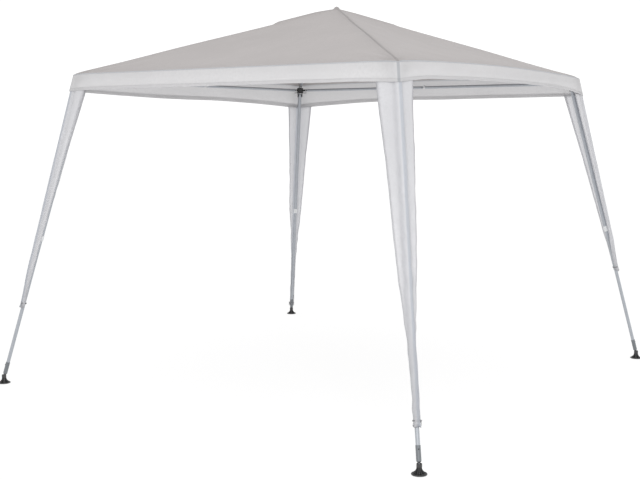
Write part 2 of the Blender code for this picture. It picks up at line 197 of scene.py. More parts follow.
def shade(colour, by):
    return tuple(channel * by for channel in colour[:3]) + (1.0,)


def line_mask(graph, coordinate, at, half):
    """1 on a line at that coordinate, falling to 0 one half width outside it."""
    off = graph.math("ABSOLUTE", graph.math("SUBTRACT", coordinate, at))
    return graph.mapped(off, half, 2.0 * half, 1.0, 0.0)


def cloth(name, colour, lines, crinkle, through=0.25, rough=0.62, foot_shade=0.0):
    """Coated polyester: a plain weave, soft crinkles, seams and rows of stitches.

    lines are (uv layer, axis, place, half width, depth, tint, pitch), in metres. The tint is
    a colour, or a share of the cloth's own. Stitches have a pitch; a seam or a painted shade band
    has 0.
    through is the share of light that passes the cloth, and soil how much painted shade darkens
    its foot.
    """
    graph = Graph(name)
    place = graph.add("TexCoord").outputs["Object"]
    maps = {}
    for layer in ("UVMap", "EdgeMap"):
        split = graph.add("SeparateXYZ",
                          Vector=graph.add("UVMap", {"uv_map": layer}).outputs["UV"])
        maps[layer] = split.outputs
    across, along = maps["UVMap"]["X"], maps["UVMap"]["Y"]
    turn = 2.0 * math.pi / WEAVE_PITCH
    weave = graph.math("MULTIPLY", graph.math("SINE", graph.math("MULTIPLY", across, turn)),
                       graph.math("SINE", graph.math("MULTIPLY", along, turn)))
    soft = graph.noise(place, 5.0, 3.0, 0.5)
    broken = graph.noise(place, 15.0, 4.0, 0.6, "RIDGED_MULTIFRACTAL")
    fine = graph.noise(place, 60.0, 2.0, 0.5)
    height = graph.total(
        graph.math("MULTIPLY", weave, 0.00002),
        graph.math("MULTIPLY", soft, 0.006 * crinkle),
        graph.math("MULTIPLY", broken, 0.0006 * crinkle),
        graph.math("MULTIPLY", fine, 0.0003 * crinkle ** 2),
    )
    patch = graph.mapped(graph.noise(place, 2.3, 4.0, 0.6), 0.3, 0.7)
    skin = graph.tint(patch, shade(colour, 0.965), shade(colour, 1.02))
    skin = graph.tint(graph.mapped(fine, 0.35, 0.75), skin, shade(colour, 0.97))
    # Painted shade: the colour darkens toward the cloth's foot, where it wraps the tube and gets
    # less light.
    if foot_shade:
        low = graph.add("SeparateXYZ", Vector=place).outputs["Z"]
        foot_shade_mask = graph.mapped(low, 0.05, 1.25, foot_shade, 0.0)
        skin = graph.tint(foot_shade_mask, skin, shade(colour, 0.55))
    for layer, axis, at, half, depth, by, pitch in lines:
        mask = line_mask(graph, maps[layer][axis], at, half)
        if pitch:
            other = maps[layer]["X" if axis == "Y" else "Y"]
            step = graph.math("FRACT", graph.math("DIVIDE", other, pitch))
            mask = graph.math("MULTIPLY", mask, graph.math("LESS_THAN", step, STITCH_SHARE))
        skin = graph.tint(mask, skin, by if isinstance(by, tuple) else shade(colour, by))
        height = graph.total(height, graph.math("MULTIPLY", mask, -depth))
    bump = graph.add("Bump", Strength=1.0, Distance=1.0, Height=height)
    surface = graph.add("BsdfPrincipled", Base_Color=skin, Roughness=rough,
                        Normal=bump.outputs["Normal"])
    surface.inputs["Specular IOR Level"].default_value = 0.35
    surface.inputs["Sheen Weight"].default_value = 0.08
    lit = graph.add("BsdfTranslucent", Color=skin, Normal=bump.outputs["Normal"])
    mix = graph.add("MixShader", Fac=through)
    graph.tree.links.new(surface.outputs[0], mix.inputs[1])
    graph.tree.links.new(lit.outputs[0], mix.inputs[2])
    return graph.finish(mix.outputs[0])


def painted_metal(name, colour, metallic, rough, coat=0.0):
    """Sprayed or plated tube: orange peel, brushed streaks and a little rubbing."""
    graph = Graph(name)
    place = graph.add("TexCoord").outputs["Object"]
    peel = graph.noise(place, 420.0, 2.0, 0.5)
    streak = graph.noise(graph.scaled(place, (60.0, 60.0, 4.0)), 3.0, 3.0, 0.6)
    rub = graph.mapped(graph.noise(place, 24.0, 5.0, 0.65), 0.52, 0.78)
    skin = graph.tint(graph.mapped(streak, 0.3, 0.7), shade(colour, 0.93), shade(colour, 1.05))
    skin = graph.tint(graph.math("MULTIPLY", rub, 0.35), skin, shade(colour, 0.72))
    height = graph.total(graph.math("MULTIPLY", peel, 0.00006),
                         graph.math("MULTIPLY", streak, 0.00003))
    bump = graph.add("Bump", Strength=1.0, Distance=1.0, Height=height)
    gloss = graph.mapped(rub, 0.0, 1.0, rough, min(1.0, rough + 0.16))
    surface = graph.add("BsdfPrincipled", Base_Color=skin, Metallic=metallic,
                        Roughness=gloss, Normal=bump.outputs["Normal"])
    surface.inputs["Coat Weight"].default_value = coat
    surface.inputs["Coat Roughness"].default_value = 0.15
    return graph.finish(surface.outputs[0])


def moulded(name, colour, rough=0.42):
    """Textured nylon, lighter where it is scuffed."""
    graph = Graph(name)
    place = graph.add("TexCoord").outputs["Object"]
    grain = graph.noise(place, 900.0, 2.0, 0.6)
    scuff = graph.mapped(graph.noise(place, 45.0, 6.0, 0.7), 0.56, 0.82)
    skin = graph.tint(scuff, shade(colour, 1.0), shade(colour, 2.1))
    bump = graph.add("Bump", Strength=1.0, Distance=1.0,
                     Height=graph.math("MULTIPLY", grain, 0.00008))
    gloss = graph.mapped(scuff, 0.0, 1.0, rough, rough + 0.2)
    surface = graph.add("BsdfPrincipled", Base_Color=skin, Roughness=gloss,
                        Normal=bump.outputs["Normal"])
    surface.inputs["Specular IOR Level"].default_value = 0.45
    return graph.finish(surface.outputs[0])


def floor_material():
    graph = Graph("studio_floor")
    matt = graph.add("BsdfDiffuse", Color=(1.0, 1.0, 1.0, 1.0))
    glow = graph.add("Emission", Color=(1.0, 1.0, 1.0, 1.0), Strength=1.0)
    mix = graph.add("MixShader", Fac=0.78)
    graph.tree.links.new(matt.outputs[0], mix.inputs[1])
    graph.tree.links.new(glow.outputs[0], mix.inputs[2])
    return graph.finish(mix.outputs[0])


# Roof and valance are one cloth; the roof's colour is painted darker as painted shade, for the
# roof facing the lamps less.
ROOF_SHADED = (0.395, 0.371, 0.367)
SKIRT = (0.665, 0.660, 0.668)
COVER = (0.690, 0.690, 0.710)
SEAM = (0.42, 0.44, 0.47, 1.0)
# Painted shade: the leg tube's shadow through the cloth at each valance corner.
CORNER_TUBE_SHADE = (0.45, 0.46, 0.48, 1.0)
SLEEVE = (0.150, 0.162, 0.175)
TUBE = (0.375, 0.395, 0.425)
BLACK = (0.038, 0.038, 0.039)
MILKY = (0.62, 0.63, 0.64)

EAVE_SLANT = TOP * SLANT
ROOF_LINES = [
    ("UVMap", "Y", EAVE_SLANT - 0.007, 0.0006, 0.0002, 0.80, 0.0036),
    ("UVMap", "Y", EAVE_SLANT - 0.0020, 0.0016, 0.0008, SEAM, 0.0),
]
SKIRT_LINES = [
    ("UVMap", "Y", 0.0016, 0.0016, 0.0008, SEAM, 0.0),
    ("UVMap", "Y", 0.0070, 0.0006, 0.0002, 0.80, 0.0036),
    ("EdgeMap", "Y", HEM - 0.002, 0.0007, 0.0003, 0.78, 0.0036),
    # Painted shade: a flat band down each valance corner for the leg tube's shadow through the
    # cloth.
    ("EdgeMap", "X", 0.0, 0.0055, 0.0, CORNER_TUBE_SHADE, 0.0),
]
COVER_LINES = [
    ("EdgeMap", "X", 0.0100, 0.0006, 0.0003, 0.78, 0.0034),
    ("EdgeMap", "X", 0.0040, 0.0005, 0.0002, 0.84, 0.0034),
    ("EdgeMap", "Y", 0.0120, 0.0006, 0.0003, 0.78, 0.0034),
    # Painted shade: a flat blue-grey band beside the crease stands for the leg tube's shade seen
    # through the cloth.
    ("UVMap", "X", 0.0090, 0.0075, 0.0, (0.54, 0.56, 0.60, 1.0), 0.0),
]


def make_materials():
    return {
        "roof_fabric": cloth("roof_cloth", ROOF_SHADED, ROOF_LINES, 0.8),
        "valance": cloth("valance_cloth", SKIRT, SKIRT_LINES, 1.0, through=0.40),
        # The cover's foot is darkened with painted shade.
        "cover_fabric": cloth("cover_cloth", COVER, COVER_LINES, 2.2, through=0.48, rough=0.26,
                              foot_shade=0.15),
        "seam": cloth("seam_cloth", shade(ROOF_SHADED, 0.9), [
            ("UVMap", "X", 0.0045, 0.0005, 0.0002, 0.8, 0.0036),
            ("UVMap", "X", -0.0045, 0.0005, 0.0002, 0.8, 0.0036),
        ], 0.6),
        "frame_tube": painted_metal("plated_tube", TUBE, 0.45, 0.28),
        "sleeve_paint": painted_metal("sleeve_enamel", SLEEVE, 0.25, 0.38, 0.3),
        "dark_plastic": moulded("black_nylon", BLACK),
        "light_plastic": moulded("milky_nylon", MILKY, 0.4),
        "rivet": painted_metal("zinc_rivet", (0.55, 0.55, 0.56), 0.9, 0.35),
        "tie": cloth("tie_webbing", (0.22, 0.22, 0.23), [], 0.5, through=0.05),
    }


# ------------------------------------------------------------------- small tools
def smooth(value):
    value = np.clip(value, 0.0, 1.0)
    return value * value * (3.0 - 2.0 * value)


def waves(seed, count, shortest, longest, stretch=1.0):
    """A smooth random height over a plane, about 1 high, built from seeded sines."""
    draw = np.random.default_rng(seed)
    length = draw.uniform(shortest, longest, count)
    turn = draw.uniform(0.0, 2.0 * math.pi, count)
    phase = draw.uniform(0.0, 2.0 * math.pi, count)
    weight = length / math.sqrt((length ** 2).sum())

    def height(x, y):
        total = np.zeros(np.broadcast(x, y).shape)
        for one in range(count):
            angle = np.cos(turn[one]) * x + np.sin(turn[one]) * y / stretch
            total = total + weight[one] * np.sin(2 * math.pi * angle / length[one] + phase[one])
        return total

    return height


def corner_angle(corner):
    return math.radians(45.0 + 90.0 * (corner - 1))


def corner_place(corner, out, tangent, up):
    """From a corner's own axes (outwards, along the tangent, up) to the row frame."""
    cos, sin = math.cos(corner_angle(corner)), math.sin(corner_angle(corner))
    return np.stack([out * cos - tangent * sin, out * sin + tangent * cos,
                     np.broadcast_to(up, np.shape(out))], axis=-1)


def mesh_object(name, mesh, material, body):
    """A finished piece, riding on its body."""
    mesh.name = name
    piece = bpy.data.objects.new(name, mesh)
    bpy.context.scene.collection.objects.link(piece)
    if not mesh.materials:
        mesh.materials.append(material)
    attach(piece, body)
    return piece


def mesh_from(name, bm):
    """The mesh of a closed bmesh, with its faces turned outwards."""
    bmesh.ops.recalc_face_normals(bm, faces=bm.faces)
    mesh = bpy.data.meshes.new(name)
    bm.to_mesh(mesh)
    bm.free()
    return mesh


def grid_mesh(name, points, maps):
    """A smooth sheet from a grid of points (rows, columns, 3) with uv layers the same size."""
    rows, columns = points.shape[:2]
    index = np.arange(rows * columns).reshape(rows, columns)
    quads = np.stack([index[:-1, :-1], index[:-1, 1:], index[1:, 1:], index[1:, :-1]], axis=-1)
    mesh = bpy.data.meshes.new(name)
    mesh.from_pydata(points.reshape(-1, 3).tolist(), [], quads.reshape(-1, 4).tolist())
    for layer, values in maps.items():
        corners = np.stack([values[:-1, :-1], values[:-1, 1:], values[1:, 1:], values[1:, :-1]],
                           axis=2)
        mesh.uv_layers.new(name=layer).data.foreach_set(
            "uv", corners.reshape(-1).astype(np.float32))
    mesh.shade_smooth()
    mesh.update()
    return mesh


# ------------------------------------------------------------------------ canopy
def ring_plan(share, half, rounding):
    """Plan of a square ring with rounded corners: (outward, along) at a share of one side."""
    flat = half - rounding
    run = share * (flat + rounding * math.pi / 4)
    over = np.clip(np.abs(run) - flat, 0.0, None) / np.maximum(rounding, 1e-9)
    outward = flat + rounding * np.cos(over)
    along = np.sign(run) * (np.minimum(np.abs(run), flat) + rounding * np.sin(over))
    return outward, along


def turned_out(side, outward, along, up):
    """From a side's own axes (outwards, along it, up) to the row frame."""
    angle = np.radians(90.0 * side)
    cos, sin = np.cos(angle), np.sin(angle)
    return np.stack([outward * cos - along * sin, outward * sin + along * cos, up], axis=-1)


def by_corner(side, share, values):
    """A per-corner value along a side: the corner before it up to the middle, then the next."""
    table = np.array(values)
    before = table[(side - 1) % 4]
    after = table[side % 4]
    return np.where(share < 0, before, after)


ROOF_SWELL = waves(11, 9, 0.35, 0.90)
ROOF_CREASE = waves(12, 14, 0.12, 0.34)
SKIRT_WAVE = waves(13, 8, 0.16, 0.60)
SKIRT_RIPPLE = waves(14, 10, 0.05, 0.16)


def roof_height(side, share, along, half):
    """Height of the stretched roof, with its sag, creases, nub and arched eaves."""
    t = half / TOP
    edge = np.abs(share)
    mid = 1.0 - edge ** 2
    height = APEX_Z - SLOPE * half
    height = height - 0.017 * mid ** 1.3 * np.sin(math.pi * np.clip(t, 0, 1)) ** 0.9
    lobe = np.where(t < RIDGE_REST, np.sin(math.pi * t / RIDGE_REST),
                    np.sin(math.pi * (t - RIDGE_REST) / (1 - RIDGE_REST))) ** 2
    ridge = edge ** 6
    height = height - 0.0025 * ridge * lobe
    # The hub's arms hold the ridges up a little as far as this step.
    step = by_corner(side, share, (0.004, 0.004, 0.010, 0.005))
    height = height + step * ridge * smooth((0.290 - half) / 0.012) * smooth(half / 0.12)
    arch = np.array(EAVE_ARCH)[side % 4]
    height = height + arch * mid * smooth((t - 0.35) / 0.65) ** 1.5
    x, y, _ = np.moveaxis(turned_out(side, half, along, np.zeros_like(half)), -1, 0)
    calm = smooth(half / 0.10) * smooth((1.0 - t) / 0.06)
    height = height + 0.0026 * ROOF_SWELL(x, y) * calm * (1.0 - edge ** 4)
    height = height + 0.0007 * ROOF_CREASE(x, y) * calm * (1.0 - edge ** 8)
    # Tension folds fan out of each corner.
    from_eave = (1.0 - t) * EAVE_SLANT
    from_ridge = (1.0 - edge) * half
    spread = np.arctan2(from_eave + 0.010, from_ridge + 0.010)
    reach = np.exp(-np.hypot(from_eave, from_ridge) / 0.22)
    phase = by_corner(side, share, (0.4, 1.7, 2.3, 0.9))
    fan = np.sin(9.0 * spread + phase) * smooth(from_ridge / 0.03) * smooth(from_eave / 0.02)
    height = height + 0.0042 * reach * fan
    # Puckers along the eave seam.
    pucker = SKIRT_RIPPLE(along, side * 3.1) * np.exp(-from_eave / 0.035)
    height = height + 0.0012 * pucker * smooth(from_eave / 0.012)
    height = height - CORNER_DIP * edge ** 24 * np.clip((t - 0.955) / 0.045, 0.0, 1.0) ** 2
    nub = np.exp(-(half / 0.017) ** 3)
    height = height + (NUB_Z - 0.0005 - APEX_Z + SLOPE * half * 0.75) * nub
    return height


def skirt_drop(side, share, half):
    """Depth of the valance: it changes toward the corners."""
    mid = np.array(DROP_MID)[side % 4]
    end = by_corner(side, share, DROP_CORNER)
    reach = np.array(DROP_REACH)[side % 4]
    ramp = np.clip(1.0 - (1.0 - np.abs(share)) * half / reach, 0.0, 1.0) ** 1.6
    waver = 0.0008 * SKIRT_WAVE(share * half * 1.3, side * 5.0) * (1 - ramp)
    return mid + (end - mid) * ramp + waver


def skirt_place(side, share, down, inner):
    """Valance: down is 0 at the eave and 1 at the bottom, inner its set-in in metres."""
    drop = skirt_drop(side, share, TOP)
    depth = drop * down
    outward, along = ring_plan(share, TOP + FLARE * depth - inner, CORNER_ROUND)
    edge = np.abs(share)
    free = smooth(down * 1.1) * smooth((1.0 - edge) * TOP / 0.05)
    belly = 0.0030 * SKIRT_WAVE(along + 0.35 * depth, side * 2.0 + depth * 0.9)
    slanting = 0.0016 * SKIRT_RIPPLE(along * 0.55 + depth * 1.4, side * 1.7 + depth)
    # Drag lines run from the bottom at each corner up to the eave further along.
    from_corner = (1.0 - edge) * TOP
    drag = np.sin((from_corner - 1.7 * depth) * 2 * math.pi / 0.135 + side) * np.exp(
        -from_corner / 0.20)
    outward = outward + free * (belly + slanting + 0.0026 * drag)
    arch = np.array(EAVE_ARCH)[side % 4] * (1.0 - edge ** 2)
    up = EAVE_Z + arch - depth - CORNER_DIP * edge ** 24 * (1.0 - down)
    return turned_out(side, outward, along, up), along, drop


def ridge_rounding(half):
    """Radius of a ring's corners, which rounds the ridge over and lowers it a little."""
    return np.minimum(half, RIDGE_ROUND + (CORNER_ROUND - RIDGE_ROUND) * smooth(half / TOP))


def ring_sizes():
    """Ring half sizes from the apex to the eave, close together at both ends."""
    near = [0.003, 0.007, 0.011, 0.015, 0.019, 0.023, 0.028, 0.035, 0.045, 0.058, 0.075]
    wide = np.linspace(0.095, 1.060, 58).tolist()
    close = [1.078, 1.094, 1.108, 1.121, 1.133, 1.143, 1.152, 1.159, 1.165, 1.169, TOP]
    return np.array(near + wide + close)


def side_shares():
    """Shares along one side, closer together toward the corners."""
    even = np.linspace(-1.0, 1.0, COLUMNS + 1)
    return 0.50 * even + 0.50 * np.sin(even * math.pi / 2)


def canopy_mesh():
    """Roof and valance in one mesh, with its faces marked 0 for roof and 1 for valance."""
    shares = side_shares()
    side = np.repeat(np.arange(4), COLUMNS + 1).reshape(1, 4, COLUMNS + 1)
    share = np.broadcast_to(shares, (1, 4, COLUMNS + 1))
    sizes = ring_sizes()
    rows, uv, edge = [], [], []
    for half in sizes:
        outward, along = ring_plan(share, half, ridge_rounding(half))
        up = roof_height(side, share, along, np.full_like(along, half))
        rows.append(turned_out(side, outward, along, up))
        uv.append(np.stack([along, np.full_like(along, half * SLANT)], -1))
        edge.append(np.stack([along, np.full_like(along, 1.0)], -1))
    # Rows of the valance, as (share of its depth, set in): its face, then the hem turned up.
    face = [(down, 0.0) for down in (0.012, 0.035, 0.08, 0.16, 0.26, 0.38, 0.50, 0.62, 0.74,
                                     0.85, 0.93, 0.975, 0.994)]
    hem_top = 1.0 - HEM / 0.1
    turned = [(1.0, 0.0006), (0.994, 0.0016), (0.90, 0.0019), (hem_top, 0.0016)]
    for number, (down, inner) in enumerate(face + turned):
        place, along, drop = skirt_place(side, share, down, inner)
        run = drop * down if number < len(face) else drop * (2.0 - down)
        rows.append(place)
        uv.append(np.stack([along, run], -1))
        from_corner = (1.0 - np.abs(share)) * (TOP + FLARE * run)
        edge.append(np.stack([from_corner, drop - run], -1))
    points = np.concatenate(rows)          # (rows, 4, COLUMNS + 1, 3)
    uv, edge = np.concatenate(uv), np.concatenate(edge)
    count = len(points)
    ring = points[:, :, :-1].reshape(count, 4 * COLUMNS, 3)
    index = np.arange(count * 4 * COLUMNS).reshape(count, 4 * COLUMNS)
    index = np.concatenate([index, index[:, :1]], axis=1)
    quads, marks, uvs, edges = [], [], [], []

    def corners(values, row, at, column):
        return [values[row, at, column], values[row + 1, at, column],
                values[row + 1, at, column + 1], values[row, at, column + 1]]

    for row in range(count - 1):
        for at in range(4):
            base = at * COLUMNS
            for column in range(COLUMNS):
                c = base + column
                quads.append((index[row, c], index[row + 1, c],
                              index[row + 1, c + 1], index[row, c + 1]))
                marks.append(0 if row < len(sizes) - 1 else 1)
                uvs += corners(uv, row, at, column)
                edges += corners(edge, row, at, column)
    tip = len(ring.reshape(-1, 3))
    for at in range(4):
        for column in range(COLUMNS):
            c = at * COLUMNS + column
            quads.append((tip, index[0, c], index[0, c + 1]))
            marks.append(0)
            uvs += [(0.0, 0.0), uv[0, at, column], uv[0, at, column + 1]]
            edges += [(0.0, 1.0), edge[0, at, column], edge[0, at, column + 1]]
    mesh = bpy.data.meshes.new("canopy_whole")
    places = ring.reshape(-1, 3).tolist() + [(0.0, 0.0, NUB_Z)]
    mesh.from_pydata(places, [], [tuple(int(i) for i in quad) for quad in quads])
    mesh.uv_layers.new(name="UVMap").data.foreach_set("uv", np.array(uvs, np.float32).ravel())
    mesh.uv_layers.new(name="EdgeMap").data.foreach_set("uv", np.array(edges, np.float32).ravel())
    mesh.attributes.new("part", "INT", "FACE").data.foreach_set("value", np.array(marks, np.int32))
    mesh.shade_smooth()
    mesh.update()
    return mesh


def ridge_direction(corner):
    angle = corner_angle(corner)
    return Vector((math.cos(angle) * math.cos(RIDGE_ANGLE),
                   math.sin(angle) * math.cos(RIDGE_ANGLE), -math.sin(RIDGE_ANGLE)))


def knee_place(corner):
    return Vector(JOINTS[f"rafter_knee_{corner}"]["pos_m"])


def knuckle_share():
    """Share of the ridge, from the tip down, at which the roof is cut."""
    from_tip = (knee_place(1) - Vector((0, 0, APEX_Z))).dot(ridge_direction(1))
    return from_tip / (TOP * math.hypot(1.0, SLANT))


def cut_at_knees(bm):
    """A row of new vertices across each corner's roof, square to the ridge at the knuckle."""
    part = bm.faces.layers.int["part"]
    for corner in range(1, 5):
        angle = corner_angle(corner)
        faces = []
        for face in bm.faces:
            if face[part]:
                continue
            centre = face.calc_center_median()
            if (centre.x * math.copysign(1, math.cos(angle)) > 0
                    and centre.y * math.copysign(1, math.sin(angle)) > 0):
                faces.append(face)
        edges = {edge for face in faces for edge in face.edges}
        verts = {vert for face in faces for vert in face.verts}
        bmesh.ops.bisect_plane(bm, geom=list(verts) + list(edges) + faces, dist=1e-5,
                               plane_co=knee_place(corner), plane_no=ridge_direction(corner))


def owner_of(centre):
    """(corner, side) of a point of the canopy, by its place in plan."""
    heading = math.degrees(math.atan2(centre.y, centre.x)) % 360.0
    corner = int(heading // 90.0) + 1
    side = int(((heading + 45.0) % 360.0) // 90.0)
    return corner, side


def canopy_pieces(materials):
    """The canopy split at the knuckles, ridges and mid sides, each piece on its own body."""
    whole = canopy_mesh()
    bm = bmesh.new()
    bm.from_mesh(whole)
    cut_at_knees(bm)
    bm.normal_update()
    keep = bm.verts.layers.float_vector.new("rest_normal")
    for vert in bm.verts:
        vert[keep] = vert.normal
    part = bm.faces.layers.int["part"]
    tag = bm.faces.layers.int.new("piece")
    names = []
    for face in bm.faces:
        centre = face.calc_center_median()
        corner, side = owner_of(centre)
        if face[part]:
            name = ("valance", corner, side)
        else:
            past = (centre - knee_place(corner)).dot(ridge_direction(corner)) > 0
            name = ("roof_outer" if past else "roof_inner", corner, side)
        if name not in names:
            names.append(name)
        face[tag] = names.index(name)
    pieces = {}
    for number, name in sorted(enumerate(names), key=lambda item: item[1]):
        copy = bm.copy()
        tag = copy.faces.layers.int["piece"]
        extra = [face for face in copy.faces if face[tag] != number]
        bmesh.ops.delete(copy, geom=extra, context="FACES")
        label = "_".join(str(word) for word in name)
        mesh = bpy.data.meshes.new(label)
        copy.to_mesh(mesh)
        copy.free()
        normals = np.zeros(len(mesh.vertices) * 3, np.float32)
        mesh.attributes["rest_normal"].data.foreach_get("vector", normals)
        for extra_name in ("rest_normal", "part", "piece"):
            mesh.attributes.remove(mesh.attributes[extra_name])
        mesh.normals_split_custom_set_from_vertices(normals.reshape(-1, 3).tolist())
        pieces[name] = mesh
    bm.free()
    bpy.data.meshes.remove(whole)
    return place_canopy(pieces, materials)


def side_normal(side):
    angle = math.radians(90.0 * side)
    return Vector((math.cos(angle), math.sin(angle), 0.0))


def place_canopy(meshes, materials):
    """Each panel on its body."""
    made = {}
    for (kind, corner, side), mesh in meshes.items():
        label = f"{kind}_{corner}_{side}"
        if kind == "valance":
            piece = mesh_object(label, mesh, materials["valance"], f"corner_{corner}")
            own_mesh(piece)
        else:
            body = kind.replace("roof", "rafter") + f"_{corner}"
            piece = mesh_object(label, mesh, materials["roof_fabric"], body)
            ridge = ridge_direction(corner)
            up = side_normal(side) * SLOPE + Vector((0, 0, 1))
            across = up.normalized().cross(ridge).normalized()
            middle = side_normal(side) * 0.5 + Vector((0, 0, APEX_Z - SLOPE * 0.5))
            peak = Vector((0, 0, APEX_Z))
            if (middle - peak).dot(across) < 0:
                across = -across
            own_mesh(piece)
        made[(kind, corner, side)] = piece
    return made


def declare_canopy(made):
    """Hides the CAD canopy node; the panels themselves are left as they are."""
    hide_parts("canopy")
    for (kind, corner, side), piece in made.items():
        if kind == "valance":
            continue


def ridge_strips(materials):
    """Felled seam along each ridge, in two lengths that meet at the knuckle."""
    split = knuckle_share() * TOP
    rows = 44
    offsets = np.array([-1.0, -0.92, -0.5, 0.0, 0.5, 0.92, 1.0])[None, :] * SEAM_HALF
    lift = np.array([-0.0006, 0.0010, 0.0012, 0.0010, 0.0012, 0.0010, -0.0006])[None, :]
    for corner in range(1, 5):
        for kind, start, end in (("inner", 0.030, split), ("outer", split, TOP)):
            sizes = np.linspace(start, end, rows)[:, None]
            half = np.broadcast_to(sizes, (rows, offsets.size))
            rounding = ridge_rounding(half)
            arc = half - rounding + rounding * math.pi / 4
            before = offsets < 0
            side = np.broadcast_to(np.where(before, corner - 1, corner % 4), half.shape)
            share = np.where(before, 1.0 - np.abs(offsets) / arc, -1.0 + np.abs(offsets) / arc)
            outward, along = ring_plan(share, half, rounding)
            up = roof_height(side, share, along, half)
            points = turned_out(side, outward, along, up)
            points[..., 2] += lift
            maps = np.stack([np.broadcast_to(offsets, half.shape), half * SLANT], -1)
            edge = np.stack([np.zeros_like(half), np.ones_like(half)], -1)
            mesh = grid_mesh("ridge", points[:, ::-1], {"UVMap": maps[:, ::-1], "EdgeMap": edge})
            body = f"rafter_{kind}_{corner}"
            piece = mesh_object(f"ridge_seam_{kind}_{corner}", mesh, materials["seam"], body)
            ridge = ridge_direction(corner)
            outwards = Vector((math.cos(corner_angle(corner)), math.sin(corner_angle(corner)), 0))
            square = (outwards.cross(Vector((0, 0, 1)))).cross(ridge).normalized()
            if square.z < 0:
                square = -square
            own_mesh(piece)


# --------------------------------------------------------------------- leg covers
def leg_out(z):
    """Distance of the leg's axis from the centre line at a height."""
    share = (LEG_PIVOT[1] - z) / (LEG_PIVOT[1] - BALL[1])
    return LEG_PIVOT[0] + (BALL[0] - LEG_PIVOT[0]) * share


def cover_top(corner):
    """The cover is sewn in just above the valance's bottom edge."""
    return EAVE_Z - DROP_CORNER[corner - 1] + 0.012


def cover_section(corner, run, z, inner):
    """Cover at a height: run is -1 to 1 from edge to edge; returns (out, tangent, arc)."""
    fall = np.clip((CREASE_Z - z) / (CREASE_Z - CREASE_LOW), -0.05, 1.0)
    radius = 0.022 + (0.0170 - 0.022) * fall
    wing = np.interp(fall, [0.0, 0.27, 0.56, 0.77, 0.92, 1.0],
                     [0.131, 0.095, 0.064, 0.041, 0.030, 0.024])
    gathered = smooth((COVER_BOTTOM[corner - 1] + 0.26 - z) / 0.24)
    wing = np.minimum(wing, 0.022) + np.maximum(wing - 0.022, 0.0) * (1.0 - gathered)
    radius = radius + (0.0172 - radius) * gathered
    half_turn = np.radians(45.0 + 62.0 * np.maximum(smooth((fall - 0.55) / 0.45), gathered))
    bend = radius * half_turn
    straight = np.maximum(wing - radius * np.minimum(half_turn, 1.0), 0.004)
    length = bend + straight
    arc = run * length
    turn = np.clip(np.abs(arc), 0, bend) / radius
    rest = np.clip(np.abs(arc) - bend, 0, None)
    crease = math.sqrt(2) * (CREASE_HALF + CREASE_FLARE * (CREASE_Z - z))
    centre = crease - radius * (math.sqrt(2) - 0.30 * smooth((fall - 0.5) / 0.5))
    centre = centre + (leg_out(z) + 0.0015 - centre) * gathered
    sign = np.sign(run)
    # The leg bulges the crease; beside it the cloth falls into a shallow valley.
    distance = np.abs(arc)
    full = smooth((wing - 0.035) / 0.035)
    bulge = 0.0030 * np.exp(-(distance / 0.020) ** 2)
    bulge = bulge - 0.0060 * np.exp(-((distance - 0.040) / 0.016) ** 2) * full
    seed = corner * 7.3
    hang = smooth((cover_top(corner) - z) / 0.10)
    long_fold = 0.0016 * hang * COVER_FOLD(run * 0.14 + seed, z * 0.16 + seed)
    crumple = 0.0008 * hang * COVER_CRUMPLE(arc + seed, z * 0.9 - seed)
    edge_curl = 0.0012 * smooth(np.abs(run) * 4.0 - 3.0) * COVER_FOLD(z * 0.5, seed + sign)
    free = smooth((np.abs(arc) - 0.006) / 0.02)
    push = bulge + (long_fold + crumple * (0.4 + 1.6 * smooth(fall * 2.0))) * (0.25 + 0.75 * free)
    push = push + edge_curl * full
    push = push - inner
    normal = np.minimum(turn, half_turn)
    out = centre + (radius + push) * np.cos(normal) - rest * np.sin(half_turn)
    tangent = sign * ((radius + push) * np.sin(normal) + rest * np.cos(half_turn))
    return out, tangent, arc


COVER_FOLD = waves(21, 7, 0.05, 0.22)
COVER_CRUMPLE = waves(22, 14, 0.025, 0.075, 1.6)


